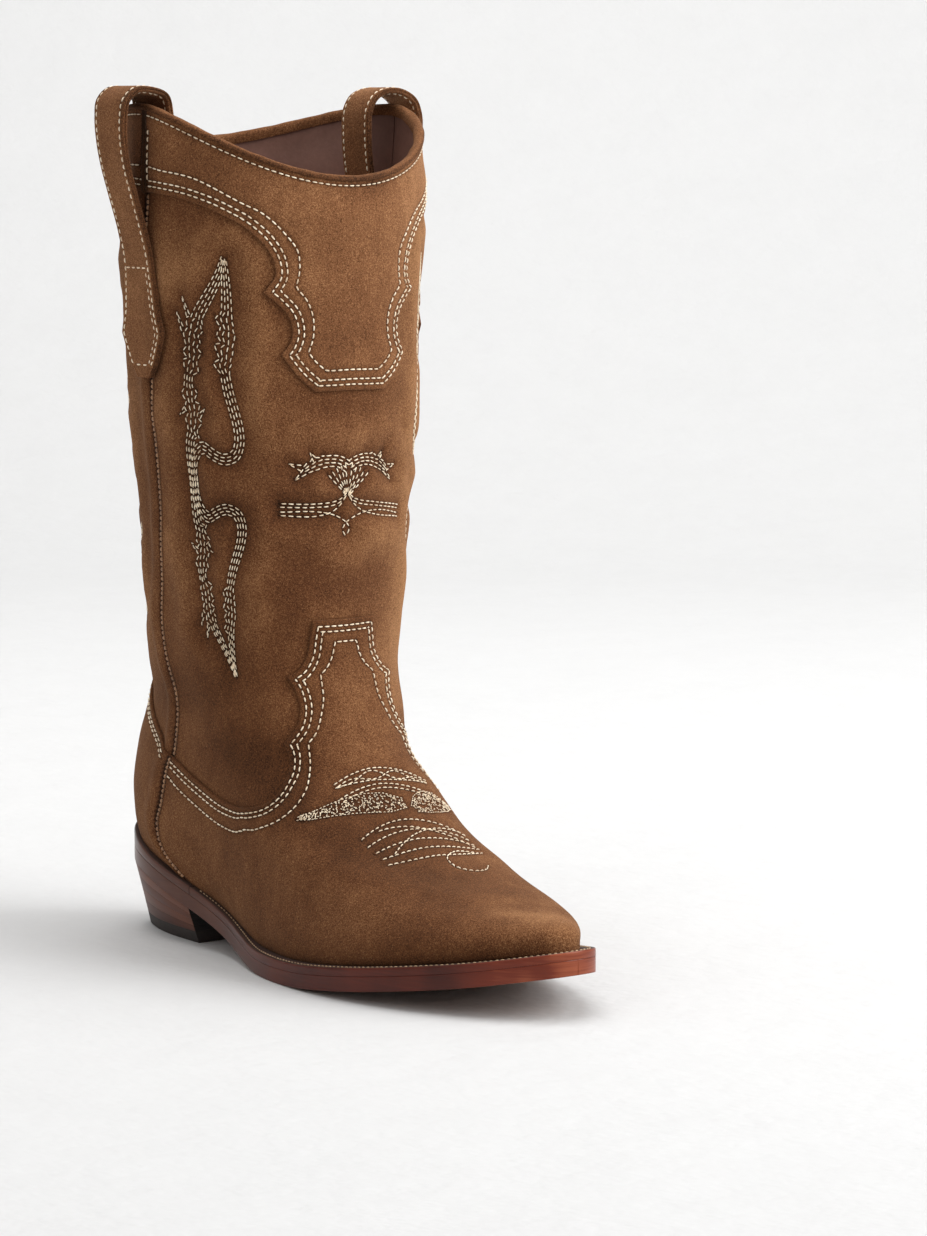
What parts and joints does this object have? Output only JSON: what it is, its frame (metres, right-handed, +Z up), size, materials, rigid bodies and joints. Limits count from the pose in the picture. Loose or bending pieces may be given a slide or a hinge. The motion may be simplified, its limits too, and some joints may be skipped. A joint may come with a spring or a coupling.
{
  "type": "cowboy boot",
  "caption": "Calf-height suede western boot with a pointed toe, block heel, dipped topline, pull straps and layered scalloped panels.",
  "frame": {"origin": "middle of the footprint box, on the ground plane under the heel and the ball of the foot", "axes": "+Z up from the ground to the topline, -Y towards the toe, -X towards the outer (lateral) side of the foot"},
  "size_m": [0.1522, 0.2878, 0.3583],
  "materials": {
    "suede": "brushed suede nap",
    "suede_light": "brushed suede nap",
    "lining_leather": "smooth matt leather",
    "sole_leather": "polished, edge-dyed",
    "heel_leather": "edge-dyed stacked leather, satin",
    "heel_rubber": "matt",
    "insole_leather": "raw",
    "cork": "pressed cork, raw",
    "stiffener": "stiffened cloth, raw",
    "steel": "plain",
    "thread": "waxed sewing thread"
  },
  "bodies": {
    "root": {"outsole": "sole_leather", "welt": "sole_leather", "heel_rand": "heel_leather", "bottom_filler": "cork", "shank": "steel", "insole": "insole_leather", "sock_liner": "lining_leather", "heel_lift_1": "heel_leather", "heel_lift_2": "heel_leather", "heel_lift_3": "heel_leather", "heel_lift_4": "heel_leather", "heel_top_lift": "heel_rubber", "heel_nail_1": "steel", "heel_nail_2": "steel", "heel_nail_3": "steel", "heel_nail_4": "steel", "heel_nail_5": "steel", "vamp": "suede_light", "counter": "suede", "toe_puff": "stiffener", "heel_stiffener": "stiffener", "shaft_front": "suede", "shaft_back": "suede", "collar_front": "suede_light", "collar_back": "suede_light", "side_welt_lateral": "suede_light", "side_welt_medial": "suede_light", "foot_lining": "lining_leather", "shaft_lining_front": "lining_leather", "shaft_lining_back": "lining_leather", "topline_binding": "suede_light", "pull_strap_lateral": "suede", "pull_strap_medial": "suede"}
  },
  "joints": []
}
